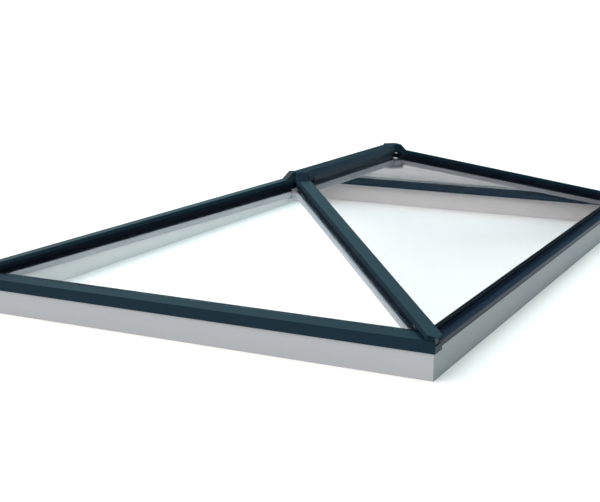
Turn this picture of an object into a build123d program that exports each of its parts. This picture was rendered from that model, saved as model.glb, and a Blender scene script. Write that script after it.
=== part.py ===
from build123d import *
from math import asin, atan, ceil, cos, radians, sin, sqrt, tan
import os

os.makedirs("parts", exist_ok=True)

# Rectangular roof lantern: four sloping glazed sides on a kerb, four hips and one ridge.
# Millimetres and degrees. +X runs from the front end to the back end, +Y to the left side, +Z up.
# The origin is the middle of the kerb's underside.

# Kerb
kerb_length = 3070.0
kerb_width = 2000.0
kerb_height = 105.0
kerb_wall = 40.0
bedding_seal = 2.0

# Roof shape
roof_pitch = 18.0

# Glazed units
outer_pane = 4.0
unit_cavity = 16.0
inner_pane = 4.0
glass_setback = 38.0
hip_glass_gap = 14.0
ridge_glass_gap = 16.0
spacer_inset = 0.5
spacer_width = 12.0

# Eaves beam, measured inward from the kerb's outer face and up from the bedding seal
beam_ledge_height = 20.0
beam_outer_recess = 1.5
beam_lip = 2.5
beam_seat_step = 2.0
beam_inner_face = 63.0
beam_flange_out = 3.0
beam_flange_height = 15.0
beam_wall = 3.0
seat_clearance = 0.4
eaves_gasket_inset = 3.0
inner_gasket = 3.0

# Corner cleat inside the eaves beams
cleat_arm = 120.0
cleat_clearance = 0.3

# End fascia, with a short return round each corner
fascia_overhang = 5.0
fascia_sheet = 2.5
fascia_kerb_lap = 8.0
fascia_joint = 2.0
fascia_web_setback = 5.0
fascia_return = 65.0
fascia_return_clearance = 0.5
fascia_screw_inset = 40.0
fascia_screw_drop = 22.0
fascia_screw_head = 8.0
fascia_screw_head_height = 2.2
fascia_screw_shank = 4.0
screw_clearance = 0.2

# Hip and ridge covers
cap_wall = 2.0
cap_leg_spacing = 28.0
hip_cap_flat = 52.0
hip_cap_base = 64.0
hip_cap_rise = 23.3
hip_cap_depth = 14.0
hip_cap_overhang = 15.0
hip_shadow_gap = 1.7
plug_inset = 3.0
plug_clearance = 0.3
ridge_cap_flat = 56.0
ridge_cap_base = 70.0
ridge_cap_rise = 40.0
ridge_cap_depth = 29.0
ridge_shadow_gap = 2.0

# Pressure plates and the gaskets under them
hip_plate_width = 62.0
ridge_plate_width = 66.0
hip_outer_gasket = 5.0
ridge_outer_gasket = 7.0
hip_gasket_width = 14.0
ridge_gasket_width = 12.0
ridge_gasket_reach = 20.0

# Bars under the glass
bar_wall = 2.5
bar_chamfer = 4.0
bar_stem = 10.0
bar_stem_drop = 2.0
hip_bar_width = 54.0
hip_bar_drop = 56.5
ridge_bar_width = 60.0
ridge_bar_drop = 68.0
inner_gasket_width = 14.0

# Apex connector, its cover above and the boss below
connector_radius = 52.0
connector_face = 44.0
connector_height = 28.0
connector_post = 10.0
boss_radius = 62.0
boss_height = 12.0
boss_edge_round = 5.0
cover_hip_reach = 72.0
cover_ridge_reach = 75.0
cover_seam = 0.5
cover_wall = 4.0
plate_apex_gap = 40.0

# Screws that clamp the pressure plates
clamp_screw_spacing = 300.0
clamp_screw_margin = 50.0
clamp_screw_shank = 4.8
clamp_screw_head = 10.0
clamp_screw_head_height = 3.0
clamp_screw_grip = 22.0

# Sizes worked out from the ones above
half_length = kerb_length / 2
half_width = kerb_width / 2
pitch = radians(roof_pitch)
rise = tan(pitch)
unit_thickness = outer_pane + unit_cavity + inner_pane
beam_base = kerb_height + bedding_seal
ledge_level = beam_base + beam_ledge_height
seat_start = glass_setback + unit_thickness * sin(pitch) - seat_clearance
seat_level = ledge_level + beam_seat_step
roof_base = seat_level - rise * seat_start + (unit_thickness + inner_gasket) / cos(pitch)
ridge_level = roof_base + rise * half_width
apex_x = half_width - half_length
hip_slope = atan(rise / sqrt(2))
hip_fall = sin(hip_slope)
hip_tilt = asin(hip_fall)
hip_length = half_width * sqrt(2) / cos(hip_slope)
hip_inset = hip_glass_gap * sqrt(2)
arm_mitre = radians(45) / 2
flange_face = beam_inner_face + beam_flange_out

# Work planes of the canonical pieces: front end, right side, front right hip and ridge
front_section = Plane(origin=(-half_length, 0, 0), x_dir=(1, 0, 0), z_dir=(0, -1, 0))
right_section = Plane(origin=(0, -half_width, 0), x_dir=(0, 1, 0), z_dir=(1, 0, 0))
front_glass = Plane(
    origin=(-half_length, 0, roof_base), x_dir=(0, -1, 0), z_dir=(-sin(pitch), 0, cos(pitch))
)
right_glass = Plane(
    origin=(0, -half_width, roof_base), x_dir=(1, 0, 0), z_dir=(0, -sin(pitch), cos(pitch))
)
hip_section = Plane(
    origin=(-half_length, -half_width, roof_base),
    x_dir=(-1, 1, 0),
    z_dir=(cos(hip_slope), cos(hip_slope), sqrt(2) * sin(hip_slope)),
)
ridge_section = Plane(origin=(0, 0, ridge_level), x_dir=(0, 1, 0), z_dir=(1, 0, 0))
apex = Vector(apex_x, 0, ridge_level)
hip_heading = Vector(1, 1, 0).normalized()


def finish(piece, name):
    """Label a finished piece and write it under its node's name."""
    piece.part.label = name
    export_step(piece.part, f"parts/{name}.step")


def finish_ends(piece, name):
    """Write a front piece and its mirror image at the back end."""
    finish(piece, f"{name}_front")
    with BuildPart() as back:
        mirror(piece.part, about=Plane.YZ)
    finish(back, f"{name}_back")


def finish_sides(piece, name):
    """Write a right-hand piece and its mirror image at the left side."""
    finish(piece, f"{name}_right")
    with BuildPart() as left:
        mirror(piece.part, about=Plane.XZ)
    finish(left, f"{name}_left")


def four_corners(piece):
    """Repeat a front right piece at the other three corners."""
    with BuildPart() as all_four:
        add(piece.part)
        mirror(about=Plane.XZ)
        mirror(about=Plane.YZ)
    return all_four


def finish_hips(piece, name):
    """Write a front right hip piece and its mirror images on the other three hips."""
    finish_sides(piece, f"{name}_front")
    with BuildPart() as back_right:
        mirror(piece.part, about=Plane.YZ)
    finish_sides(back_right, f"{name}_back")


def mitred_front(profile):
    """Run an eaves profile along the front end, mitred at both corners."""
    with BuildPart() as run:
        with BuildSketch(front_section):
            add(profile)
        extrude(amount=half_width + fascia_overhang, both=True)
        for side in (-1, 1):
            corner = Plane(origin=(-half_length, side * half_width, 0), z_dir=(1, side, 0))
            split(bisect_by=corner, keep=Keep.BOTTOM)
    return run


def mitred_right(profile):
    """Run an eaves profile along the right side, mitred at both corners."""
    with BuildPart() as run:
        with BuildSketch(right_section):
            add(profile)
        extrude(amount=half_length + fascia_overhang, both=True)
        for end in (-1, 1):
            corner = Plane(origin=(end * half_length, -half_width, 0), z_dir=(end, 1, 0))
            split(bisect_by=corner, keep=Keep.BOTTOM)
    return run


def outline(points):
    """Closed face through the given points."""
    with BuildSketch() as face:
        with BuildLine():
            Polyline(*points, close=True)
        make_face()
    return face.sketch


def both_halves(points):
    """Closed face through points on the right half and their mirror images on the left."""
    left = [(-across, up) for across, up in reversed(points) if across > 0]
    return outline(list(points) + left)


def glass_level(inward):
    """Height of the outer glass face at a distance inward from the kerb's outer face."""
    return roof_base + rise * inward


# Kerb: four boards, mitred at the corners
with BuildSketch() as kerb_profile:
    Rectangle(kerb_wall, kerb_height, align=(Align.MIN, Align.MIN))
finish_ends(mitred_front(kerb_profile.sketch), "kerb_board")
finish_sides(mitred_right(kerb_profile.sketch), "kerb_board")


# Bedding seal: a soft strip between each eaves beam and the kerb
with BuildSketch() as seal_profile:
    with Locations((beam_outer_recess, kerb_height)):
        Rectangle(kerb_wall - 2 * beam_outer_recess, bedding_seal, align=(Align.MIN, Align.MIN))
front_seal = mitred_front(seal_profile.sketch)
side_seal = mitred_right(seal_profile.sketch)
with BuildPart() as bedding_seals:
    add(front_seal.part)
    add(side_seal.part)
    mirror(front_seal.part, about=Plane.YZ)
    mirror(side_seal.part, about=Plane.XZ)
finish(bedding_seals, "bedding_seals")


# Eaves beam: hollow extrusion with a flat ledge, a sloping glass seat and an inner flange
seat_end_level = seat_level + rise * (beam_inner_face - seat_start)
flange_top = beam_base + beam_flange_height
beam_outline = outline(
    [
        (beam_outer_recess, beam_base),
        (beam_outer_recess, ledge_level - beam_wall),
        (beam_outer_recess - beam_lip, ledge_level - beam_wall),
        (beam_outer_recess - beam_lip, ledge_level),
        (seat_start, ledge_level),
        (seat_start, seat_level),
        (beam_inner_face, seat_end_level),
        (beam_inner_face, flange_top),
        (flange_face, flange_top),
        (flange_face, beam_base),
    ]
)
chamber_outer = beam_outer_recess + beam_wall
chamber_inner = seat_start - beam_wall
chamber_floor = beam_base + beam_wall
chamber_roof = ledge_level - beam_wall
seat_chamber_end = beam_inner_face - beam_wall
with BuildSketch() as beam_profile:
    add(beam_outline)
    add(
        outline(
            [
                (chamber_outer, chamber_floor),
                (chamber_inner, chamber_floor),
                (chamber_inner, chamber_roof),
                (chamber_outer, chamber_roof),
            ]
        ),
        mode=Mode.SUBTRACT,
    )
    add(
        outline(
            [
                (seat_start, chamber_floor),
                (seat_chamber_end, chamber_floor),
                (seat_chamber_end, seat_level - beam_wall + rise * (seat_chamber_end - seat_start)),
                (seat_start, seat_level - beam_wall),
            ]
        ),
        mode=Mode.SUBTRACT,
    )
finish_ends(mitred_front(beam_profile.sketch), "eaves_beam")
finish_sides(mitred_right(beam_profile.sketch), "eaves_beam")


# Corner cleats: L-shaped blocks that join the beams through their chambers
cleat_near = chamber_outer + cleat_clearance
cleat_far = chamber_inner - cleat_clearance
cleat_tip = cleat_near + cleat_arm
with BuildPart() as cleat:
    with BuildSketch(
        Plane(origin=(-half_length, -half_width, chamber_floor + cleat_clearance))
    ):
        add(
            outline(
                [
                    (cleat_near, cleat_near),
                    (cleat_tip, cleat_near),
                    (cleat_tip, cleat_far),
                    (cleat_far, cleat_far),
                    (cleat_far, cleat_tip),
                    (cleat_near, cleat_tip),
                ]
            )
        )
    extrude(amount=chamber_roof - chamber_floor - 2 * cleat_clearance)
finish(four_corners(cleat), "corner_cleats")


# Eaves gasket: the strip on each beam's seat that carries the glazed unit
def eaves_gasket_profile():
    """Strip lying along the sloping seat."""
    start = seat_start + eaves_gasket_inset
    end = beam_inner_face - eaves_gasket_inset
    start_level = seat_level + rise * (start - seat_start)
    end_level = seat_level + rise * (end - seat_start)
    lean = inner_gasket * sin(pitch)
    lift = inner_gasket * cos(pitch)
    return outline(
        [
            (start, start_level),
            (end, end_level),
            (end - lean, end_level + lift),
            (start - lean, start_level + lift),
        ]
    )


finish_ends(mitred_front(eaves_gasket_profile()), "eaves_gasket")
finish_sides(mitred_right(eaves_gasket_profile()), "eaves_gasket")


# End fascia: a folded cover in line with the glass, with a web that stands on the beam's ledge
fascia_face = -fascia_overhang
fascia_back = fascia_face + fascia_sheet
fascia_bottom = kerb_height - fascia_kerb_lap
flange_end = glass_setback - fascia_joint
flange_drop = fascia_sheet / cos(pitch)
web_outer = flange_end - fascia_web_setback - fascia_sheet
web_inner = flange_end - fascia_web_setback
fascia_profile = outline(
    [
        (fascia_face, fascia_bottom),
        (fascia_face, glass_level(fascia_face)),
        (flange_end, glass_level(flange_end)),
        (flange_end, glass_level(flange_end) - flange_drop),
        (web_inner, glass_level(web_inner) - flange_drop),
        (web_inner, ledge_level),
        (web_outer, ledge_level),
        (web_outer, glass_level(web_outer) - flange_drop),
        (fascia_back, glass_level(fascia_back) - flange_drop),
        (fascia_back, fascia_bottom),
    ]
)
fascia_screw_level = glass_level(fascia_face) - fascia_screw_drop
fascia_screw_across = half_width - fascia_screw_inset
fascia_screw_spots = [
    Plane(
        origin=(-half_length + fascia_face, side * fascia_screw_across, fascia_screw_level),
        z_dir=(-1, 0, 0),
    )
    for side in (-1, 1)
]
with BuildPart() as end_fascia:
    add(mitred_front(fascia_profile).part)
    return_height = ledge_level - beam_wall - fascia_return_clearance - fascia_bottom
    for side in (-1, 1):
        with BuildSketch(Plane.XY.offset(fascia_bottom)):
            with Locations(
                (
                    -half_length + fascia_face,
                    side * (half_width + fascia_overhang - fascia_sheet / 2),
                )
            ):
                Rectangle(
                    fascia_overhang + fascia_return, fascia_sheet, align=(Align.MIN, Align.CENTER)
                )
        extrude(amount=return_height)
    with BuildSketch(*fascia_screw_spots):
        Circle(fascia_screw_shank / 2 + screw_clearance)
    extrude(amount=-fascia_sheet, mode=Mode.SUBTRACT)
finish_ends(end_fascia, "end_fascia")


# Fascia screws: a domed head on the fascia and a shank to the eaves beam
with BuildPart() as front_fascia_screws:
    with BuildSketch(*fascia_screw_spots):
        Circle(fascia_screw_head / 2)
    extrude(amount=fascia_screw_head_height)
    fillet(
        front_fascia_screws.edges().filter_by(GeomType.CIRCLE).group_by(Axis.X)[0],
        radius=fascia_screw_head_height / 2,
    )
    with BuildSketch(*fascia_screw_spots):
        Circle(fascia_screw_shank / 2)
    extrude(amount=-(fascia_overhang + beam_outer_recess))
with BuildPart() as fascia_screws:
    add(front_fascia_screws.part)
    mirror(about=Plane.YZ)
finish(fascia_screws, "fascia_screws")


# Glazed units: two panes and the edge spacer between them
def side_outline():
    """Trapezoid of a long side's unit, in the glass plane."""
    top = half_width - ridge_glass_gap
    low_half = half_length - glass_setback - hip_inset
    top_half = half_length - top - hip_inset
    return outline(
        [
            (-low_half, glass_setback / cos(pitch)),
            (low_half, glass_setback / cos(pitch)),
            (top_half, top / cos(pitch)),
            (-top_half, top / cos(pitch)),
        ]
    )


def end_outline():
    """Triangle of an end's unit, in the glass plane."""
    low_half = half_width - glass_setback - hip_inset
    return outline(
        [
            (-low_half, glass_setback / cos(pitch)),
            (low_half, glass_setback / cos(pitch)),
            (0, (half_width - hip_inset) / cos(pitch)),
        ]
    )


def glazed_unit(face, plane, finish_pair):
    """Write the outer pane, spacer and inner pane of a unit and of the one opposite."""
    with BuildPart() as outer:
        with BuildSketch(plane):
            add(face)
        extrude(amount=-outer_pane)
    finish_pair(outer, "outer_pane")
    with BuildPart() as spacer:
        with BuildSketch(plane.offset(-outer_pane)):
            add(face)
            offset(amount=-spacer_inset, kind=Kind.INTERSECTION, mode=Mode.REPLACE)
            offset(amount=-spacer_width, kind=Kind.INTERSECTION, mode=Mode.SUBTRACT)
        extrude(amount=-unit_cavity)
    finish_pair(spacer, "edge_spacer")
    with BuildPart() as inner:
        with BuildSketch(plane.offset(-outer_pane - unit_cavity)):
            add(face)
        extrude(amount=-inner_pane)
    finish_pair(inner, "inner_pane")


glazed_unit(end_outline(), front_glass, finish_ends)
glazed_unit(side_outline(), right_glass, finish_sides)


# Profiles across a hip or the ridge: across is sideways, up is square to the line of the bar,
# and fall is how far the glass drops for each millimetre sideways
def bar_profile(width, drop, fall, tilt):
    """Hollow bar under the glass, with two sloping shelves and a stem between the units."""
    shelf = (unit_thickness + inner_gasket) / cos(tilt)
    edge = width / 2
    stem = bar_stem / 2
    inside = edge - bar_wall
    with BuildSketch() as profile:
        add(
            both_halves(
                [
                    (0, -bar_stem_drop),
                    (stem, -bar_stem_drop),
                    (stem, -shelf - fall * stem),
                    (edge, -shelf - fall * edge),
                    (edge, -drop + bar_chamfer),
                    (edge - bar_chamfer, -drop),
                    (0, -drop),
                ]
            )
        )
        add(
            both_halves(
                [
                    (0, -shelf - bar_wall - fall * stem),
                    (stem, -shelf - bar_wall - fall * stem),
                    (inside, -shelf - bar_wall - fall * inside),
                    (inside, -drop + bar_chamfer),
                    (edge - bar_chamfer, -drop + bar_wall),
                    (0, -drop + bar_wall),
                ]
            ),
            mode=Mode.SUBTRACT,
        )
    return profile.sketch


def strip_profile(near, far, base, top, fall):
    """Pair of strips that follow the fall of the glass on both sides."""
    with BuildSketch() as strips:
        for side in (-1, 1):
            add(
                outline(
                    [
                        (side * near, base - fall * near),
                        (side * far, base - fall * far),
                        (side * far, top - fall * far),
                        (side * near, top - fall * near),
                    ]
                )
            )
    return strips.sketch


def thermal_break_profile(gasket, fall, tilt):
    """Insulating bar between the stem and the pressure plate."""
    stem = bar_stem / 2
    crown = gasket / cos(tilt)
    return both_halves(
        [(0, crown), (stem, crown - fall * stem), (stem, -bar_stem_drop), (0, -bar_stem_drop)]
    )


def plate_profile(width, top, gasket, fall, tilt):
    """Pressure plate with a roof-shaped underside that bears on the outer gaskets."""
    edge = width / 2
    crown = gasket / cos(tilt)
    return both_halves([(0, top), (edge, top), (edge, crown - fall * edge), (0, crown)])


def cap_profile(flat, base, rise_above, depth, plate_top):
    """Thin cover with a flat top, sloping shoulders and two legs that stand on the plate."""
    with BuildSketch() as profile:
        add(
            both_halves(
                [
                    (0, rise_above),
                    (flat / 2, rise_above),
                    (base / 2, rise_above - depth),
                    (base / 2 - cap_wall, rise_above - depth),
                    (flat / 2 - cap_wall, rise_above - cap_wall),
                    (0, rise_above - cap_wall),
                ]
            )
        )
        with Locations(
            (-cap_leg_spacing / 2, rise_above - cap_wall), (cap_leg_spacing / 2, rise_above - cap_wall)
        ):
            Rectangle(
                cap_wall, rise_above - cap_wall - plate_top, align=(Align.CENTER, Align.MAX)
            )
    return profile.sketch


def along_hip(profile, eaves_cut, apex_cut):
    """Run a profile up the front right hip, cut square to both eaves and short of the apex."""
    run_out = abs(eaves_cut) + hip_cap_base
    with BuildPart() as run:
        with BuildSketch(hip_section.offset(-2 * run_out)):
            add(profile)
        extrude(amount=hip_length + 2 * run_out + hip_cap_base)
        split(bisect_by=Plane(origin=(-half_length + eaves_cut, 0, 0), z_dir=(1, 0, 0)), keep=Keep.TOP)
        split(bisect_by=Plane(origin=(0, -half_width + eaves_cut, 0), z_dir=(0, 1, 0)), keep=Keep.TOP)
        split(
            bisect_by=Plane(origin=apex - hip_heading * apex_cut, z_dir=hip_heading),
            keep=Keep.BOTTOM,
        )
    return run


def along_ridge(profile, apex_cut):
    """Run a profile along the ridge between the two apexes."""
    with BuildPart() as run:
        with BuildSketch(ridge_section):
            add(profile)
        extrude(amount=-apex_x - apex_cut, both=True)
    return run


# Screw spots along the front right hip and the ridge, square to the bar
def spread(low, high):
    """Evenly spaced stations between two ends, no further apart than the screw spacing."""
    gaps = max(1, ceil((high - low) / clamp_screw_spacing))
    return [low + (high - low) * index / gaps for index in range(gaps + 1)]


hip_plate_top = hip_cap_rise - hip_cap_depth - hip_shadow_gap
ridge_plate_top = ridge_cap_rise - ridge_cap_depth - ridge_shadow_gap
hip_up = hip_section.y_dir
hip_bar_start = flange_face * sqrt(2) / cos(hip_slope)
hip_screw_spots = [
    Plane(
        origin=hip_section.origin + hip_section.z_dir * station + hip_up * hip_plate_top,
        x_dir=hip_section.x_dir,
        z_dir=hip_up,
    )
    for station in spread(
        hip_bar_start + clamp_screw_margin, hip_length - cover_hip_reach - clamp_screw_margin
    )
]
ridge_screw_spots = [
    Plane(origin=(station, 0, ridge_level + ridge_plate_top), z_dir=(0, 0, 1))
    for station in spread(
        apex_x + cover_ridge_reach + clamp_screw_margin,
        -apex_x - cover_ridge_reach - clamp_screw_margin,
    )
]


def with_screw_holes(run, spots, depth):
    """Cut the clamping screws' holes down from the plate's top."""
    with BuildPart() as drilled:
        add(run.part)
        with BuildSketch(*spots):
            Circle(clamp_screw_shank / 2 + screw_clearance)
        extrude(amount=-depth, mode=Mode.SUBTRACT)
    return drilled


# Hip bars, thermal breaks, gaskets, pressure plates and caps
hip_hole_depth = hip_plate_top + clamp_screw_grip + screw_clearance
hip_bar = along_hip(
    bar_profile(hip_bar_width, hip_bar_drop, hip_fall, hip_tilt), flange_face, connector_face
)
finish_hips(with_screw_holes(hip_bar, hip_screw_spots, hip_hole_depth), "hip_bar")

hip_break = along_hip(
    thermal_break_profile(hip_outer_gasket, hip_fall, hip_tilt), flange_face, connector_face
)
hip_break = with_screw_holes(hip_break, hip_screw_spots, hip_hole_depth)
finish(four_corners(hip_break), "hip_thermal_breaks")

hip_edge = hip_bar_width / 2
hip_plate_edge = hip_plate_width / 2
hip_inner_strips = along_hip(
    strip_profile(
        hip_edge - inner_gasket_width,
        hip_edge,
        -(unit_thickness + inner_gasket) / cos(hip_tilt),
        -unit_thickness / cos(hip_tilt),
        hip_fall,
    ),
    flange_face,
    connector_face,
)
hip_outer_strips = along_hip(
    strip_profile(
        hip_plate_edge - hip_gasket_width,
        hip_plate_edge,
        0,
        hip_outer_gasket / cos(hip_tilt),
        hip_fall,
    ),
    glass_setback,
    connector_face,
)
with BuildPart() as hip_gaskets:
    add(hip_inner_strips.part)
    add(hip_outer_strips.part)
finish_hips(hip_gaskets, "hip_gaskets")

hip_plate = along_hip(
    plate_profile(hip_plate_width, hip_plate_top, hip_outer_gasket, hip_fall, hip_tilt),
    glass_setback,
    plate_apex_gap,
)
finish_hips(with_screw_holes(hip_plate, hip_screw_spots, hip_hole_depth), "hip_pressure_plate")

hip_cap = along_hip(
    cap_profile(hip_cap_flat, hip_cap_base, hip_cap_rise, hip_cap_depth, hip_plate_top),
    -fascia_overhang - hip_cap_overhang,
    cover_hip_reach,
)
finish_hips(hip_cap, "hip_cap")


# Hip end plugs: moulded blocks between each hip cap's lower end and the eaves corner
plug_edge = hip_cap_flat / 2 - cap_wall
plug_base = hip_cap_base / 2 - cap_wall
plug_top = hip_cap_rise - cap_wall
plug_shoulder = hip_cap_rise - hip_cap_depth
plug_depth = (roof_base - beam_base) / cos(hip_slope)
with BuildSketch() as plug_profile:
    add(
        outline(
            [
                (0, 0),
                (plug_base, -hip_fall * plug_base),
                (plug_base, plug_shoulder),
                (plug_edge, plug_top),
                (-plug_edge, plug_top),
                (-plug_base, plug_shoulder),
                (-plug_base, -plug_depth),
                (0, -plug_depth),
            ]
        )
    )
    with Locations((-cap_leg_spacing / 2, plug_top), (cap_leg_spacing / 2, plug_top)):
        Rectangle(
            cap_wall + 2 * plug_clearance,
            plug_top - hip_plate_top + plug_clearance,
            align=(Align.CENTER, Align.MAX),
            mode=Mode.SUBTRACT,
        )
with BuildPart() as hip_end_plug:
    add(along_hip(plug_profile.sketch, plug_inset - fascia_overhang, cover_hip_reach).part)
    for plane in (front_section, right_section):
        inner_end = Plane(origin=plane.origin + plane.x_dir * flange_end, z_dir=plane.x_dir)
        split(bisect_by=inner_end, keep=Keep.BOTTOM)
    split(bisect_by=Plane.XY.offset(ledge_level), keep=Keep.TOP)
finish(four_corners(hip_end_plug), "hip_end_plugs")


# Ridge bar, thermal break, gaskets, pressure plate and cap
ridge_hole_depth = ridge_plate_top + clamp_screw_grip + screw_clearance
ridge_bar = along_ridge(
    bar_profile(ridge_bar_width, ridge_bar_drop, rise, pitch), connector_face
)
finish(with_screw_holes(ridge_bar, ridge_screw_spots, ridge_hole_depth), "ridge_bar")

ridge_break = along_ridge(thermal_break_profile(ridge_outer_gasket, rise, pitch), connector_face)
finish(with_screw_holes(ridge_break, ridge_screw_spots, ridge_hole_depth), "ridge_thermal_break")

ridge_edge = ridge_bar_width / 2
with BuildPart() as ridge_gaskets:
    add(
        along_ridge(
            strip_profile(
                ridge_edge - inner_gasket_width,
                ridge_edge,
                -(unit_thickness + inner_gasket) / cos(pitch),
                -unit_thickness / cos(pitch),
                rise,
            ),
            connector_face,
        ).part
    )
    add(
        along_ridge(
            strip_profile(
                ridge_gasket_reach,
                ridge_gasket_reach + ridge_gasket_width,
                0,
                ridge_outer_gasket / cos(pitch),
                rise,
            ),
            connector_face,
        ).part
    )
finish(ridge_gaskets, "ridge_gaskets")

ridge_plate = along_ridge(
    plate_profile(ridge_plate_width, ridge_plate_top, ridge_outer_gasket, rise, pitch),
    plate_apex_gap,
)
finish(with_screw_holes(ridge_plate, ridge_screw_spots, ridge_hole_depth), "ridge_pressure_plate")

ridge_cap = along_ridge(
    cap_profile(ridge_cap_flat, ridge_cap_base, ridge_cap_rise, ridge_cap_depth, ridge_plate_top),
    cover_ridge_reach + cover_seam,
)
finish(ridge_cap, "ridge_cap")


# Clamping screws: pan heads on the plates under the caps
def screw_group(spots):
    """One screw at each spot."""
    with BuildPart() as screws:
        with BuildSketch(*spots):
            Circle(clamp_screw_head / 2)
        extrude(amount=clamp_screw_head_height)
        with BuildSketch(*spots):
            Circle(clamp_screw_shank / 2)
        extrude(amount=-hip_plate_top - clamp_screw_grip)
    return screws


with BuildPart() as clamp_screws:
    add(four_corners(screw_group(hip_screw_spots)).part)
    add(screw_group(ridge_screw_spots).part)
finish(clamp_screws, "clamp_screws")


# Apex connector: a cast hub whose flats take the two hip bars and the ridge bar
connector_top = ridge_level - (unit_thickness + inner_gasket) / cos(pitch) - rise * connector_radius
arm_headings = [-hip_heading, Vector(-1, 1, 0).normalized(), Vector(1, 0, 0)]
with BuildPart() as connector:
    with BuildSketch(Plane(origin=(apex_x, 0, connector_top))):
        Circle(connector_radius)
    extrude(amount=-connector_height)
    for heading in arm_headings:
        split(bisect_by=Plane(origin=apex + heading * connector_face, z_dir=heading), keep=Keep.BOTTOM)
    with BuildSketch(Plane(origin=(apex_x, 0, connector_top))):
        Circle(connector_post / 2)
    extrude(amount=ridge_level + ridge_cap_rise - cover_wall - connector_top)
finish_ends(connector, "apex_connector")


# Apex boss: a shallow white dish that hides the connector from below
with BuildPart() as boss:
    with BuildSketch(Plane(origin=(apex_x, 0, connector_top - connector_height))):
        Circle(boss_radius)
    extrude(amount=-boss_height)
    fillet(boss.edges().group_by(Axis.Z)[0], radius=boss_edge_round)
finish_ends(boss, "apex_boss")


# Apex cover: a hollow cast hood that joins the hip caps to the raised ridge cap
def crown_profile(inset, floor):
    """Section of the hood where it is level with the ridge cap."""
    return both_halves(
        [
            (0, ridge_cap_rise - inset),
            (ridge_cap_flat / 2 - inset, ridge_cap_rise - inset),
            (ridge_cap_base / 2 - inset, ridge_cap_rise - ridge_cap_depth),
            (ridge_cap_base / 2 - inset, floor),
            (0, floor),
        ]
    )


def nose_profile(inset):
    """Section of the hood where it meets a hip cap, measured in a vertical plane."""
    lean = cos(hip_slope)
    fall_to_nose = tan(hip_slope) * nose_end
    return both_halves(
        [
            (0, (hip_cap_rise - inset) / lean - fall_to_nose),
            (hip_cap_flat / 2 - inset, (hip_cap_rise - inset) / lean - fall_to_nose),
            (hip_cap_base / 2 - inset, (hip_cap_rise - hip_cap_depth) / lean - fall_to_nose),
            (hip_cap_base / 2 - inset, hip_plate_top / lean - fall_to_nose),
            (0, hip_plate_top / lean - fall_to_nose),
        ]
    )


def hood_form(inset):
    """Two noses down the hips and one level arm along the ridge, smaller all round by the inset."""
    overlap = (ridge_cap_flat / 2 - inset) * tan(arm_mitre)
    with BuildPart() as form:
        for side in (-1, 1):
            heading = Vector(-1, side, 0).normalized()
            sideways = Vector(-side, -1, 0).normalized()
            with BuildSketch(Plane(origin=apex - heading * overlap, x_dir=sideways, z_dir=heading)):
                add(crown_profile(inset, hood_floor))
            extrude(amount=overlap + plate_apex_gap)
            with BuildSketch(
                Plane(origin=apex + heading * plate_apex_gap, x_dir=sideways, z_dir=heading)
            ):
                add(crown_profile(inset, hood_floor))
            with BuildSketch(Plane(origin=apex + heading * nose_end, x_dir=sideways, z_dir=heading)):
                add(nose_profile(inset))
            loft(ruled=True)
        with BuildSketch(Plane(origin=apex + Vector(overlap, 0, 0), x_dir=(0, 1, 0), z_dir=(1, 0, 0))):
            add(crown_profile(inset, ridge_plate_top))
        extrude(amount=cover_ridge_reach - overlap)
    return form


nose_end = cover_hip_reach - cover_seam
hood_floor = hip_plate_top / cos(hip_slope) - tan(hip_slope) * plate_apex_gap
with BuildPart() as cover:
    add(hood_form(0).part)
    add(hood_form(cover_wall).part, mode=Mode.SUBTRACT)
finish_ends(cover, "apex_cover")
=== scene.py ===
import math

import bmesh
import bpy
from mathutils import Matrix, Vector


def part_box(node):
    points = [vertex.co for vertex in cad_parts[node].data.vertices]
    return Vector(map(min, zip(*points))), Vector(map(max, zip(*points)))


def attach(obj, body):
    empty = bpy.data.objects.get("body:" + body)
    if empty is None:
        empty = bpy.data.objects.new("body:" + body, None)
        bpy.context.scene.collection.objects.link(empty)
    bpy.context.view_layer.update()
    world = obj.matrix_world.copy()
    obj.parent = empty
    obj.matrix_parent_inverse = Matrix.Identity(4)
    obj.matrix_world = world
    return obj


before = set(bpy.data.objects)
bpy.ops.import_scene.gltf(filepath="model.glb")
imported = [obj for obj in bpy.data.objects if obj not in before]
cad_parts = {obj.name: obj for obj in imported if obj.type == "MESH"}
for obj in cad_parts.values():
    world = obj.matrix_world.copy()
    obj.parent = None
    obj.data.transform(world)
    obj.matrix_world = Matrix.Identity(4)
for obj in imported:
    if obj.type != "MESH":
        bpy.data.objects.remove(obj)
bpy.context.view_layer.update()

bl_info = {
    "name": "Roof lantern finishes",
    "version": (1, 0, 0),
    "blender": (4, 5, 0),
    "location": "3D View > Sidebar > Lantern",
    "description": "Gives the roof lantern its finishes, small details and studio",
    "category": "Object",
}

# Groups of the lantern's nodes, by the start of their names
KERB_NODES = ("kerb_board",)
EAVES_NODES = ("eaves_beam",)
COVER_NODES = (
    "end_fascia",
    "fascia_screws",
    "hip_cap",
    "hip_end_plugs",
    "hip_pressure_plate",
    "ridge_cap",
    "ridge_pressure_plate",
    "apex_cover",
)
BAR_NODES = ("hip_bar", "ridge_bar", "apex_boss", "apex_connector")
BARE_METAL_NODES = ("corner_cleats",)
PANE_NODES = ("outer_pane", "inner_pane")
SPACER_NODES = ("edge_spacer",)
SEAL_NODES = ("bedding_seals", "eaves_gasket", "hip_gaskets", "ridge_gaskets")
MOULDED_NODES = ("hip_thermal_breaks", "ridge_thermal_break")
SCREW_NODES = ("clamp_screws",)

# Half sizes of the opening inside the kerb, just past its inner faces, where the kerb gets its paler
# painted light
BOARD_PLAY = 0.0005
FRONT_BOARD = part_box("kerb_board_front")
RIGHT_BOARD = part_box("kerb_board_right")
KERB_OPENING = (BOARD_PLAY - FRONT_BOARD[1].x, BOARD_PLAY - RIGHT_BOARD[1].y)

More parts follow.
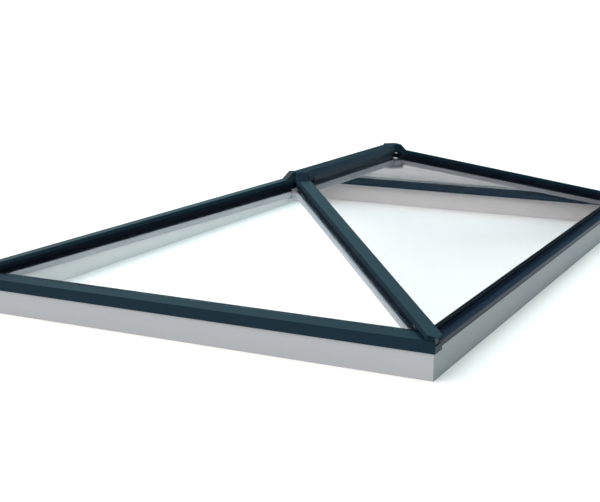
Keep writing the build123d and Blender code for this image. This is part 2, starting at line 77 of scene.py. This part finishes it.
# The roof's planes, from the kerb's outer faces and the pitch, and the front right hip
HALF_LENGTH = -FRONT_BOARD[0].x
HALF_WIDTH = -RIGHT_BOARD[0].y
ROOF_PITCH = math.radians(18.0)
GLASS_FALL = math.tan(ROOF_PITCH)
ROOF_BASE = 0.14276
APEX = Vector((HALF_WIDTH - HALF_LENGTH, 0.0, ROOF_BASE + HALF_WIDTH * GLASS_FALL))
CORNER = Vector((-HALF_LENGTH, -HALF_WIDTH, ROOF_BASE))
HIP_HEADING = (APEX - CORNER).normalized()
HIP_ACROSS = Vector((1.0, -1.0, 0.0)).normalized()
HIP_UP = HIP_ACROSS.cross(HIP_HEADING)
HIP_FALL = HIP_HEADING.z

# Sections of the CAD's caps and bars: half widths, and levels from the roof's planes
HIP_CAP_EDGE = 0.032
HIP_CAP_LIP = 0.0093
RIDGE_CAP_EDGE = 0.035
RIDGE_CAP_LIP = 0.011
HIP_BAR_EDGE = 0.027
HIP_BAR_SHELF = 0.0277
HIP_BAR_DROP = 0.0565
LINING_PLAY = 0.0003

# Where the new strips end, measured level from the apex or the kerb's outer corner
HIP_CAP_STOP = 0.072
RIDGE_CAP_STOP = 0.075
BOSS_STOP = 0.064
LIP_START = 0.112
LINING_START = 0.128

# The photo's camera, measured from the middle of the kerb's underside
PHOTO_WIDTH = 600
FOCAL_PIXELS = 1178.2
SENSOR_WIDTH = 36.0
FARTHEST_SEEN = 1000.0
VIEW_FROM = Vector((-5.1155, -2.2676, 1.2844))
VIEW_HEADING = 0.459105
VIEW_PITCH = 0.218353
VIEW_ROLL = -0.005985

# Patches of the dome: where each one lies, and how near to it a direction has to be, as the
# cosine of the angle between them, for the patch to start and to be full
OVERHEAD = ((0.0, 0.0, 1.0), 0.0, 0.75)
BEYOND_FRONT = ((-1.0, 0.25, 0.35), 0.1, 1.0)
BEYOND_RIGHT = ((0.1, -1.0, 0.15), 0.0, 0.9)
BEYOND_CORNER = ((0.87, -0.48, 0.05), 0.85, 0.98)
HIGH_BEYOND_BACK = ((0.77, 0.30, 0.59), 0.80, 0.95)
LOW_BEYOND_BACK = ((1.0, 0.22, 0.22), 0.92, 0.975)
BACKDROP = (1.0, 1.0, 1.0)


class LanternFinishes(bpy.types.PropertyGroup):
    """Colours and textures of the lantern's surfaces."""

    kerb_colour: bpy.props.FloatVectorProperty(
        name="Kerb",
        description="Colour of the moulded kerb",
        subtype="COLOR",
        size=3,
        min=0,
        max=1,
        default=(0.338, 0.343, 0.364),
    )
    # Paler tone of the kerb's inner faces: painted light for the inside of the lantern
    kerb_inner_painted_light: bpy.props.FloatVectorProperty(
        name="Kerb inner painted light",
        description="Paler colour of the kerb's inner faces",
        subtype="COLOR",
        size=3,
        min=0,
        max=1,
        default=(0.66, 0.62, 0.605),
    )
    cover_colour: bpy.props.FloatVectorProperty(
        name="Covers",
        description="Powder coat of the fascias and caps",
        subtype="COLOR",
        size=3,
        min=0,
        max=1,
        default=(0.0046, 0.0165, 0.0270),
    )
    beam_colour: bpy.props.FloatVectorProperty(
        name="Eaves beams",
        description="Powder coat of the eaves beams",
        subtype="COLOR",
        size=3,
        min=0,
        max=1,
        default=(0.007, 0.015, 0.032),
    )
    # The bars' coat is white; this grey is painted shade for the dim light under the glass
    bar_colour_painted_shade: bpy.props.FloatVectorProperty(
        name="Bars",
        description="White powder coat of the bars under the glass",
        subtype="COLOR",
        size=3,
        min=0,
        max=1,
        default=(0.30, 0.295, 0.315),
    )
    glass_colour: bpy.props.FloatVectorProperty(
        name="Glass",
        description="Tint of the panes",
        subtype="COLOR",
        size=3,
        min=0,
        max=1,
        default=(0.94, 0.94, 0.945),
    )
    coat_grain: bpy.props.FloatProperty(
        name="Powder coat grain",
        description="Size of the fine texture in the powder coat",
        unit="LENGTH",
        default=0.0012,
        min=0.0002,
        max=0.01,
    )
    mould_grain: bpy.props.FloatProperty(
        name="Kerb grain",
        description="Size of the fine texture on the moulded kerb",
        unit="LENGTH",
        default=0.0025,
        min=0.0005,
        max=0.02,
    )
    edge_round: bpy.props.FloatProperty(
        name="Edge rounding",
        description="Radius that softens the extrusions' outer edges",
        unit="LENGTH",
        default=0.0012,
        min=0.0,
        max=0.01,
    )


class LanternStrips(bpy.types.PropertyGroup):
    """Sizes of the lips under the caps and the linings beside the bars."""

    lip_gap: bpy.props.FloatProperty(
        name="Lip gap",
        description="Gap between a cap's lip and the glass",
        unit="LENGTH",
        default=0.0004,
        min=0.0,
        max=0.004,
    )
    hip_lip: bpy.props.FloatProperty(
        name="Hip lip thickness",
        description="Thickness of the rubber lip under each side of a hip cap",
        unit="LENGTH",
        default=0.0008,
        min=0.0004,
        max=0.0009,
    )
    ridge_lip: bpy.props.FloatProperty(
        name="Ridge lip thickness",
        description="Thickness of the coated lip under each side of the ridge cap",
        unit="LENGTH",
        default=0.0014,
        min=0.0005,
        max=0.0018,
    )
    lining_width: bpy.props.FloatProperty(
        name="Lining width",
        description="How far a white lining stands out from the side of a hip bar",
        unit="LENGTH",
        default=0.009,
        min=0.003,
        max=0.02,
    )
    lining_chamfer: bpy.props.FloatProperty(
        name="Lining chamfer",
        description="Chamfer along a lining's lower outer edge",
        unit="LENGTH",
        default=0.004,
        min=0.0,
        max=0.006,
    )


class LanternStudio(bpy.types.PropertyGroup):
    """The floor and the light round the lantern."""

    floor_reach: bpy.props.FloatProperty(
        name="Floor reach",
        description="Distance from the lantern to the edge of the floor",
        unit="LENGTH",
        default=160.0,
        min=5.0,
    )
    floor_colour: bpy.props.FloatVectorProperty(
        name="Floor",
        description="Colour of the studio floor",
        subtype="COLOR",
        size=3,
        min=0,
        max=1,
        default=(0.93, 0.895, 0.875),
    )
    overhead_light: bpy.props.FloatProperty(
        name="Overhead light",
        description="Brightness of the dome straight above",
        default=1.75,
        min=0.0,
    )
    horizon_light: bpy.props.FloatProperty(
        name="Horizon light",
        description="Brightness of the dome at the horizon",
        default=0.35,
        min=0.0,
    )
    key_light: bpy.props.FloatProperty(
        name="Key light",
        description="Extra brightness of the dome beyond the front end",
        default=1.0,
        min=0.0,
    )
    side_shade: bpy.props.FloatVectorProperty(
        name="Side shade",
        description="How much of the dome's light is left beyond the right side",
        subtype="COLOR",
        size=3,
        min=0,
        max=1,
        default=(0.03, 0.13, 0.105),
    )
    side_glow: bpy.props.FloatVectorProperty(
        name="Side glow",
        description="Cool light from the dome low beyond the back right corner",
        subtype="COLOR",
        size=3,
        min=0,
        max=2,
        default=(0.15, 0.50, 0.85),
    )
    back_tint: bpy.props.FloatVectorProperty(
        name="Back tint",
        description="Cool light from the dome high beyond the back end",
        subtype="COLOR",
        size=3,
        min=0,
        max=2,
        default=(0.78, 1.35, 1.45),
    )
    back_shade: bpy.props.FloatVectorProperty(
        name="Back shade",
        description="How much of the dome's light is left low beyond the back end",
        subtype="COLOR",
        size=3,
        min=0,
        max=1,
        default=(0.03, 0.04, 0.05),
    )


def nodes_of(prefixes):
    """The frame's objects whose names start with one of the prefixes."""
    found = [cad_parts[name] for name in sorted(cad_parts) if name.startswith(prefixes)]
    if not found:
        raise RuntimeError(f"The frame has no nodes named {prefixes}")
    return found


def dress(pieces, material):
    """Give the pieces one material."""
    for piece in pieces:
        piece.data.materials.clear()
        piece.data.materials.append(material)


class Finish:
    """A node material that is built up around one Principled shader."""

    def __init__(self, name):
        self.material = bpy.data.materials.new(name)
        self.material.use_nodes = True
        self.tree = self.material.node_tree
        self.shader = self.tree.nodes["Principled BSDF"]
        place = self.add("ShaderNodeTexCoord")
        self.place = place.outputs["Object"]

    def add(self, kind, **settings):
        """Add a node and set its own properties."""
        node = self.tree.nodes.new(kind)
        for name, value in settings.items():
            setattr(node, name, value)
        return node

    def link(self, output, target):
        """Join an output to an input."""
        self.tree.links.new(output, target)

    def set(self, **values):
        """Set constant values on the shader's own sockets."""
        for name, value in values.items():
            self.shader.inputs[name.replace("_", " ")].default_value = value

    def noise(self, size, detail=3.0, stretch=(1.0, 1.0, 1.0)):
        """Noise whose features are about the given size, scaled along the object's axes."""
        mapping = self.add("ShaderNodeMapping")
        mapping.inputs["Scale"].default_value = stretch
        self.link(self.place, mapping.inputs["Vector"])
        noise = self.add("ShaderNodeTexNoise")
        noise.inputs["Scale"].default_value = 1.0 / size
        noise.inputs["Detail"].default_value = detail
        self.link(mapping.outputs["Vector"], noise.inputs["Vector"])
        return noise.outputs["Fac"]

    def spread(self, value, low, high):
        """Map the middle of a noise's values onto a range."""
        scale = self.add("ShaderNodeMapRange")
        scale.inputs["From Min"].default_value = 0.3
        scale.inputs["From Max"].default_value = 0.7
        scale.inputs["To Min"].default_value = low
        scale.inputs["To Max"].default_value = high
        self.link(value, scale.inputs["Value"])
        return scale.outputs["Result"]

    def colour_between(self, value, first, second):
        """Colour that runs between two colours with a value."""
        mix = self.add("ShaderNodeMix", data_type="RGBA")
        self.link(value, mix.inputs["Factor"])
        mix.inputs["A"].default_value = (*first, 1.0)
        mix.inputs["B"].default_value = (*second, 1.0)
        self.link(mix.outputs["Result"], self.shader.inputs["Base Color"])
        return mix.outputs["Result"]

    def share_inside(self, half_sizes):
        """1 inside an upright rectangle round the object's origin and 0 outside it."""
        axes = self.add("ShaderNodeSeparateXYZ")
        self.link(self.place, axes.inputs["Vector"])
        sides = []
        for axis, half_size in zip(("X", "Y"), half_sizes):
            distance = self.add("ShaderNodeMath", operation="ABSOLUTE")
            self.link(axes.outputs[axis], distance.inputs[0])
            side = self.add("ShaderNodeMath", operation="LESS_THAN")
            side.inputs[1].default_value = half_size
            self.link(distance.outputs["Value"], side.inputs[0])
            sides.append(side.outputs["Value"])
        both = self.add("ShaderNodeMath", operation="MULTIPLY")
        self.link(sides[0], both.inputs[0])
        self.link(sides[1], both.inputs[1])
        return both.outputs["Value"]

    def colour_by_share(self, share, first, second):
        """Colour that turns from an output into a plain colour with a share."""
        mix = self.add("ShaderNodeMix", data_type="RGBA")
        self.link(share, mix.inputs["Factor"])
        self.link(first, mix.inputs["A"])
        mix.inputs["B"].default_value = (*second, 1.0)
        self.link(mix.outputs["Result"], self.shader.inputs["Base Color"])

    def roughness_from(self, value, low, high):
        """Roughness that runs between two values."""
        self.link(self.spread(value, low, high), self.shader.inputs["Roughness"])

    def pass_light(self, tint):
        """Let light from lamps and the dome straight through, so that glass throws no shade."""
        through = self.add("ShaderNodeBsdfTransparent")
        through.inputs["Color"].default_value = (*tint, 1.0)
        path = self.add("ShaderNodeLightPath")
        mix = self.add("ShaderNodeMixShader")
        self.link(path.outputs["Is Shadow Ray"], mix.inputs["Fac"])
        self.link(self.shader.outputs["BSDF"], mix.inputs[1])
        self.link(through.outputs["BSDF"], mix.inputs[2])
        self.link(mix.outputs["Shader"], self.tree.nodes["Material Output"].inputs["Surface"])

    def relief(self, value, depth, edge_round=0.0):
        """Bump of the given depth, over edges rounded by a radius."""
        bump = self.add("ShaderNodeBump")
        bump.inputs["Distance"].default_value = depth
        bump.inputs["Strength"].default_value = 1.0
        self.link(value, bump.inputs["Height"])
        if edge_round:
            bevel = self.add("ShaderNodeBevel", samples=6)
            bevel.inputs["Radius"].default_value = edge_round
            self.link(bevel.outputs["Normal"], bump.inputs["Normal"])
        self.link(bump.outputs["Normal"], self.shader.inputs["Normal"])


def shade(colour, amount):
    """A colour made lighter or darker."""
    return tuple(min(1.0, channel * amount) for channel in colour)


def powder_coat(name, colour, grain, edge_round, gloss_index=1.16):
    """Satin powder coat with a fine grain and faint drifts of tone."""
    finish = Finish(name)
    drift = finish.noise(size=0.35, detail=2.0)
    finish.colour_between(drift, shade(colour, 0.94), shade(colour, 1.07))
    fine = finish.noise(size=grain, detail=2.0)
    finish.roughness_from(fine, low=0.30, high=0.42)
    finish.relief(fine, depth=grain * 0.02, edge_round=edge_round)
    finish.set(IOR=gloss_index)
    return finish.material


def moulded_kerb(colour, inner_painted_light_colour, grain, edge_round):
    """Moulded kerb, satin and pebbled, faintly streaked outside, with paler painted light on its inner
    faces.
    """
    finish = Finish("kerb_moulding")
    streaks = finish.noise(size=0.25, stretch=(0.25, 0.25, 3.0))
    outside = finish.colour_between(streaks, shade(colour, 0.97), shade(colour, 1.03))
    # Inside the opening the faces take the paler tone, which is painted light
    finish.colour_by_share(finish.share_inside(KERB_OPENING), outside, inner_painted_light_colour)
    pebble = finish.noise(size=grain, detail=2.0)
    finish.roughness_from(pebble, low=0.42, high=0.56)
    finish.relief(pebble, depth=grain * 0.03, edge_round=edge_round)
    finish.set(IOR=1.2)
    return finish.material


def bare_aluminium():
    """Mill-finished aluminium with fine drawn lines."""
    finish = Finish("bare_aluminium")
    lines = finish.noise(size=0.0015, detail=2.0, stretch=(1.0, 0.02, 1.0))
    finish.colour_between(lines, (0.62, 0.63, 0.64), (0.78, 0.79, 0.80))
    finish.roughness_from(lines, low=0.28, high=0.42)
    finish.relief(lines, depth=0.00003)
    finish.set(Metallic=1.0)
    return finish.material


def clear_glass(colour):
    """Clear float glass with a faint roller wave."""
    finish = Finish("clear_glass")
    wave = finish.noise(size=0.30, detail=1.0)
    finish.relief(wave, depth=0.00004)
    finish.set(Base_Color=(*colour, 1.0), Roughness=0.0, IOR=1.11, Transmission_Weight=1.0)
    finish.pass_light(colour)
    return finish.material


def black_spacer():
    """Black warm-edge spacer with its sealant."""
    finish = Finish("black_spacer")
    grain = finish.noise(size=0.002)
    finish.colour_between(grain, (0.004, 0.006, 0.012), (0.008, 0.011, 0.018))
    finish.roughness_from(grain, low=0.45, high=0.65)
    finish.relief(grain, depth=0.00004)
    finish.set(IOR=1.12)
    return finish.material


def black_rubber():
    """Matt gasket rubber."""
    finish = Finish("gasket_rubber")
    bloom = finish.noise(size=0.012, detail=4.0)
    finish.colour_between(bloom, (0.003, 0.006, 0.012), (0.006, 0.010, 0.018))
    finish.roughness_from(bloom, low=0.6, high=0.8)
    finish.relief(bloom, depth=0.00006)
    finish.set(IOR=1.12)
    return finish.material


def black_moulding():
    """Grained black moulded plastic."""
    finish = Finish("black_moulding")
    grain = finish.noise(size=0.0012)
    finish.colour_between(grain, (0.008, 0.011, 0.016), (0.014, 0.018, 0.024))
    finish.roughness_from(grain, low=0.5, high=0.65)
    finish.relief(grain, depth=0.00005, edge_round=0.0008)
    finish.set(IOR=1.25)
    return finish.material


def steel_painted_shade():
    """Steel with turned marks, darkened: painted shade for the screws under the caps."""
    finish = Finish("steel_darkened_painted_shade")
    marks = finish.noise(size=0.0008, stretch=(1.0, 1.0, 6.0))
    finish.colour_between(marks, (0.03, 0.032, 0.038), (0.05, 0.052, 0.06))
    finish.roughness_from(marks, low=0.22, high=0.34)
    finish.relief(marks, depth=0.00002)
    finish.set(Metallic=1.0)
    return finish.material


def studio_floor_finish(colour):
    """Plain pale floor, matt, with a hardly visible mottle."""
    finish = Finish("studio_floor")
    mottle = finish.noise(size=0.8, detail=2.0)
    finish.colour_between(mottle, shade(colour, 0.995), shade(colour, 1.005))
    finish.set(Roughness=1.0, IOR=1.0)
    return finish.material


def add_prism(shape, outline, origin, across, up, heading, length):
    """Prism of an outline of (across, up) points that runs from an origin along a heading."""
    rings = []
    for run in (0.0, length):
        points = [origin + across * x + up * y + heading * run for x, y in outline]
        rings.append([shape.verts.new(point) for point in points])
    shape.faces.new(rings[0])
    shape.faces.new(reversed(rings[1]))
    for index in range(len(outline)):
        follow = (index + 1) % len(outline)
        shape.faces.new((rings[0][follow], rings[0][index], rings[1][index], rings[1][follow]))


def add_hip_pairs(shape, outline, start, stop):
    """Prisms on both sides of all four hips, between level distances from the corner and the apex."""
    level = math.hypot(HIP_HEADING.x, HIP_HEADING.y)
    origin = CORNER + HIP_HEADING * (start / level)
    length = (APEX - CORNER).length - (start + stop) / level
    for end in (-1, 1):
        for side in (-1, 1):
            turn = Vector((end, side, 1.0))
            for hand in (-1, 1):
                add_prism(
                    shape,
                    outline,
                    origin * turn,
                    HIP_ACROSS * turn * hand,
                    HIP_UP * turn,
                    HIP_HEADING * turn,
                    length,
                )


def add_ridge_pair(shape, outline, stop):
    """Prisms on both sides of the ridge, between distances from the two apexes."""
    along = Vector((1.0, 0.0, 0.0))
    up = Vector((0.0, 0.0, 1.0))
    start = APEX + along * stop
    for hand in (-1, 1):
        across = Vector((0.0, hand, 0.0))
        add_prism(shape, outline, start, across, up, along, -2 * start.x)


def new_piece(name, shape, material):
    """Turn a shape into a piece of the lantern with its finish."""
    bmesh.ops.recalc_face_normals(shape, faces=shape.faces)
    mesh = bpy.data.meshes.new(name)
    shape.to_mesh(mesh)
    shape.free()
    piece = bpy.data.objects.new(name, mesh)
    bpy.context.scene.collection.objects.link(piece)
    dress([piece], material)
    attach(piece, "root")


def side_lip(edge, thickness, top, fall, gap):
    """Outline of a lip that hangs from a cap's edge to just above the glass."""
    inner = edge - thickness
    return [(inner, top), (inner, gap - fall * inner), (edge, gap - fall * edge), (edge, top)]


class LANTERN_OT_kerb(bpy.types.Operator):
    """Finish the kerb boards"""

    bl_idname = "lantern.kerb"
    bl_label = "Kerb"

    def execute(self, context):
        finishes = context.scene.lantern_finishes
        material = moulded_kerb(
            finishes.kerb_colour,
            finishes.kerb_inner_painted_light,
            finishes.mould_grain,
            finishes.edge_round,
        )
        dress(nodes_of(KERB_NODES), material)
        return {"FINISHED"}


class LANTERN_OT_eaves(bpy.types.Operator):
    """Finish the eaves beams"""

    bl_idname = "lantern.eaves"
    bl_label = "Eaves beams"

    def execute(self, context):
        finishes = context.scene.lantern_finishes
        material = powder_coat(
            "beam_powder_coat", finishes.beam_colour, finishes.coat_grain, finishes.edge_round
        )
        dress(nodes_of(EAVES_NODES), material)
        return {"FINISHED"}


class LANTERN_OT_covers(bpy.types.Operator):
    """Finish the fascias, caps, apex covers and the plates under the caps"""

    bl_idname = "lantern.covers"
    bl_label = "Covers"

    def execute(self, context):
        finishes = context.scene.lantern_finishes
        material = powder_coat(
            "cover_powder_coat", finishes.cover_colour, finishes.coat_grain, finishes.edge_round
        )
        dress(nodes_of(COVER_NODES), material)
        return {"FINISHED"}


class LANTERN_OT_bars(bpy.types.Operator):
    """Finish the white bars with their hubs and bosses, and the hidden corner cleats"""

    bl_idname = "lantern.bars"
    bl_label = "Bars"

    def execute(self, context):
        finishes = context.scene.lantern_finishes
        # White coat darkened to grey: painted shade for the bars under the glass
        white = powder_coat(
            "white_coat_painted_shade",
            finishes.bar_colour_painted_shade,
            finishes.coat_grain,
            finishes.edge_round,
            gloss_index=1.3,
        )
        dress(nodes_of(BAR_NODES), white)
        dress(nodes_of(BARE_METAL_NODES), bare_aluminium())
        return {"FINISHED"}


class LANTERN_OT_glazing(bpy.types.Operator):
    """Finish the panes and their edge spacers"""

    bl_idname = "lantern.glazing"
    bl_label = "Glazing"

    def execute(self, context):
        finishes = context.scene.lantern_finishes
        dress(nodes_of(PANE_NODES), clear_glass(finishes.glass_colour))
        dress(nodes_of(SPACER_NODES), black_spacer())
        return {"FINISHED"}


class LANTERN_OT_linings(bpy.types.Operator):
    """Add the white linings beside the hip bars"""

    bl_idname = "lantern.linings"
    bl_label = "Bar linings"

    def execute(self, context):
        strips = context.scene.lantern_strips
        near = HIP_BAR_EDGE + LINING_PLAY
        far = HIP_BAR_EDGE + strips.lining_width
        shelf = HIP_BAR_SHELF + LINING_PLAY
        outline = [
            (near, -shelf - HIP_FALL * near),
            (far, -shelf - HIP_FALL * far),
            (far, strips.lining_chamfer - HIP_BAR_DROP),
            (far - strips.lining_chamfer, -HIP_BAR_DROP),
            (near, -HIP_BAR_DROP),
        ]
        shape = bmesh.new()
        add_hip_pairs(shape, outline, LINING_START, BOSS_STOP)
        # The bars' coat, darkened with its painted shade
        white = nodes_of(BAR_NODES)[0].data.materials[0]
        new_piece("hip_bar_linings", shape, white)
        return {"FINISHED"}


class LANTERN_OT_lips(bpy.types.Operator):
    """Add the lips that close the gap between the caps' edges and the glass"""

    bl_idname = "lantern.lips"
    bl_label = "Cap lips"

    def execute(self, context):
        strips = context.scene.lantern_strips
        hip = side_lip(HIP_CAP_EDGE, strips.hip_lip, HIP_CAP_LIP, HIP_FALL, strips.lip_gap)
        shape = bmesh.new()
        add_hip_pairs(shape, hip, LIP_START, HIP_CAP_STOP)
        rubber = nodes_of(SEAL_NODES)[0].data.materials[0]
        new_piece("hip_cap_lips", shape, rubber)
        ridge = side_lip(
            RIDGE_CAP_EDGE, strips.ridge_lip, RIDGE_CAP_LIP, GLASS_FALL, strips.lip_gap
        )
        shape = bmesh.new()
        add_ridge_pair(shape, ridge, RIDGE_CAP_STOP)
        coat = nodes_of(COVER_NODES)[0].data.materials[0]
        new_piece("ridge_cap_lips", shape, coat)
        return {"FINISHED"}


class LANTERN_OT_seals(bpy.types.Operator):
    """Finish the gaskets and thermal breaks"""

    bl_idname = "lantern.seals"
    bl_label = "Seals and mouldings"

    def execute(self, context):
        dress(nodes_of(SEAL_NODES), black_rubber())
        dress(nodes_of(MOULDED_NODES), black_moulding())
        return {"FINISHED"}


class LANTERN_OT_fixings(bpy.types.Operator):
    """Finish the screws"""

    bl_idname = "lantern.fixings"
    bl_label = "Fixings"

    def execute(self, context):
        # The screws' steel is darkened, which is painted shade under the caps
        dress(nodes_of(SCREW_NODES), steel_painted_shade())
        return {"FINISHED"}


def photo_camera():
    """Camera at the photo's viewpoint."""
    heading = Vector((math.cos(VIEW_HEADING), math.sin(VIEW_HEADING), 0.0))
    forward = heading * math.cos(VIEW_PITCH) - Vector((0.0, 0.0, math.sin(VIEW_PITCH)))
    right = Vector((heading.y, -heading.x, 0.0))
    down = forward.cross(right)
    tilted_right = right * math.cos(VIEW_ROLL) + down * math.sin(VIEW_ROLL)
    tilted_down = down * math.cos(VIEW_ROLL) - right * math.sin(VIEW_ROLL)
    turn = Matrix((tilted_right, -tilted_down, -forward)).transposed()
    data = bpy.data.cameras.new("photo_camera")
    data.sensor_fit = "HORIZONTAL"
    data.sensor_width = SENSOR_WIDTH
    data.lens = FOCAL_PIXELS * SENSOR_WIDTH / PHOTO_WIDTH
    data.clip_end = FARTHEST_SEEN
    camera = bpy.data.objects.new("photo_camera", data)
    camera.matrix_world = Matrix.Translation(VIEW_FROM) @ turn.to_4x4()
    bpy.context.scene.collection.objects.link(camera)
    bpy.context.scene.camera = camera


def studio_floor(settings):
    """Wide pale floor under the lantern."""
    mesh = bpy.data.meshes.new("studio_floor")
    shape = bmesh.new()
    bmesh.ops.create_grid(shape, x_segments=1, y_segments=1, size=settings.floor_reach)
    shape.to_mesh(mesh)
    shape.free()
    floor = bpy.data.objects.new("studio_floor", mesh)
    bpy.context.scene.collection.objects.link(floor)
    dress([floor], studio_floor_finish(settings.floor_colour))


def dome_share(tree, direction, towards, start, full):
    """How far a direction lies inside a patch of the dome, from 0 to 1."""
    dot = tree.nodes.new("ShaderNodeVectorMath")
    dot.operation = "DOT_PRODUCT"
    dot.inputs[1].default_value = Vector(towards).normalized()
    tree.links.new(direction, dot.inputs[0])
    scale = tree.nodes.new("ShaderNodeMapRange")
    scale.interpolation_type = "SMOOTHSTEP"
    scale.inputs["From Min"].default_value = start
    scale.inputs["From Max"].default_value = full
    tree.links.new(dot.outputs["Value"], scale.inputs["Value"])
    return scale.outputs["Result"]


def dome_mix(tree, share, first, second, blend="MIX"):
    """Mix two colours of the dome by a share. Each is a colour or an output."""
    mix = tree.nodes.new("ShaderNodeMix")
    mix.data_type = "RGBA"
    mix.blend_type = blend
    mix.clamp_factor = True
    for name, value in (("Factor", share), ("A", first), ("B", second)):
        sockets = [socket for socket in mix.inputs if socket.name == name and socket.enabled]
        if isinstance(value, bpy.types.NodeSocket):
            tree.links.new(value, sockets[0])
        else:
            sockets[0].default_value = (*value, 1.0)
    return [socket for socket in mix.outputs if socket.enabled][0]


def studio_dome(settings):
    """Soft light from all round, dim beyond the right and low beyond the back, on a white backdrop."""
    world = bpy.data.worlds.new("studio_dome")
    bpy.context.scene.world = world
    world.use_nodes = True
    tree = world.node_tree
    direction = tree.nodes.new("ShaderNodeTexCoord").outputs["Generated"]
    overhead = dome_share(tree, direction, *OVERHEAD)
    front = dome_share(tree, direction, *BEYOND_FRONT)
    right = dome_share(tree, direction, *BEYOND_RIGHT)
    corner = dome_share(tree, direction, *BEYOND_CORNER)
    high_back = dome_share(tree, direction, *HIGH_BEYOND_BACK)
    low_back = dome_share(tree, direction, *LOW_BEYOND_BACK)
    horizon_grey = (settings.horizon_light,) * 3
    overhead_grey = (settings.overhead_light,) * 3
    light = dome_mix(tree, overhead, horizon_grey, overhead_grey)
    light = dome_mix(tree, front, light, (settings.key_light,) * 3, blend="ADD")
    light = dome_mix(tree, right, light, tuple(settings.side_shade), blend="MULTIPLY")
    light = dome_mix(tree, corner, light, tuple(settings.side_glow), blend="ADD")
    light = dome_mix(tree, high_back, light, tuple(settings.back_tint), blend="MULTIPLY")
    light = dome_mix(tree, low_back, light, tuple(settings.back_shade), blend="MULTIPLY")
    seen = tree.nodes.new("ShaderNodeLightPath").outputs["Is Camera Ray"]
    backdrop = dome_mix(tree, seen, light, BACKDROP)
    tree.links.new(backdrop, tree.nodes["Background"].inputs["Color"])


class LANTERN_OT_stage(bpy.types.Operator):
    """Set up the floor, the light and the photo's camera"""

    bl_idname = "lantern.stage"
    bl_label = "Stage"

    def execute(self, context):
        settings = context.scene.lantern_studio
        photo_camera()
        studio_floor(settings)
        studio_dome(settings)
        context.scene.view_settings.view_transform = "Standard"
        return {"FINISHED"}


class LANTERN_PT_panel(bpy.types.Panel):
    """The lantern's settings and steps."""

    bl_label = "Roof lantern"
    bl_idname = "LANTERN_PT_panel"
    bl_space_type = "VIEW_3D"
    bl_region_type = "UI"
    bl_category = "Lantern"

    def draw(self, context):
        scene = context.scene
        for settings in (scene.lantern_finishes, scene.lantern_strips, scene.lantern_studio):
            box = self.layout.box()
            for name in settings.bl_rna.properties.keys():
                if name not in ("rna_type", "name"):
                    box.prop(settings, name)
        for step in STEPS:
            self.layout.operator(step.bl_idname)


STEPS = (
    LANTERN_OT_kerb,
    LANTERN_OT_eaves,
    LANTERN_OT_covers,
    LANTERN_OT_bars,
    LANTERN_OT_linings,
    LANTERN_OT_glazing,
    LANTERN_OT_seals,
    LANTERN_OT_lips,
    LANTERN_OT_fixings,
    LANTERN_OT_stage,
)
CLASSES = (LanternFinishes, LanternStrips, LanternStudio, *STEPS, LANTERN_PT_panel)


def register():
    """Register the classes and hang the settings on the scene."""
    for item in CLASSES:
        bpy.utils.register_class(item)
    bpy.types.Scene.lantern_finishes = bpy.props.PointerProperty(type=LanternFinishes)
    bpy.types.Scene.lantern_strips = bpy.props.PointerProperty(type=LanternStrips)
    bpy.types.Scene.lantern_studio = bpy.props.PointerProperty(type=LanternStudio)


def unregister():
    """Take the settings off the scene and unregister the classes."""
    del bpy.types.Scene.lantern_studio
    del bpy.types.Scene.lantern_strips
    del bpy.types.Scene.lantern_finishes
    for item in reversed(CLASSES):
        bpy.utils.unregister_class(item)


def main():
    """Run every step in order."""
    register()
    bpy.ops.lantern.kerb()
    bpy.ops.lantern.eaves()
    bpy.ops.lantern.covers()
    bpy.ops.lantern.bars()
    bpy.ops.lantern.linings()
    bpy.ops.lantern.glazing()
    bpy.ops.lantern.seals()
    bpy.ops.lantern.lips()
    bpy.ops.lantern.fixings()
    bpy.ops.lantern.stage()


if __name__ == "__main__":
    main()
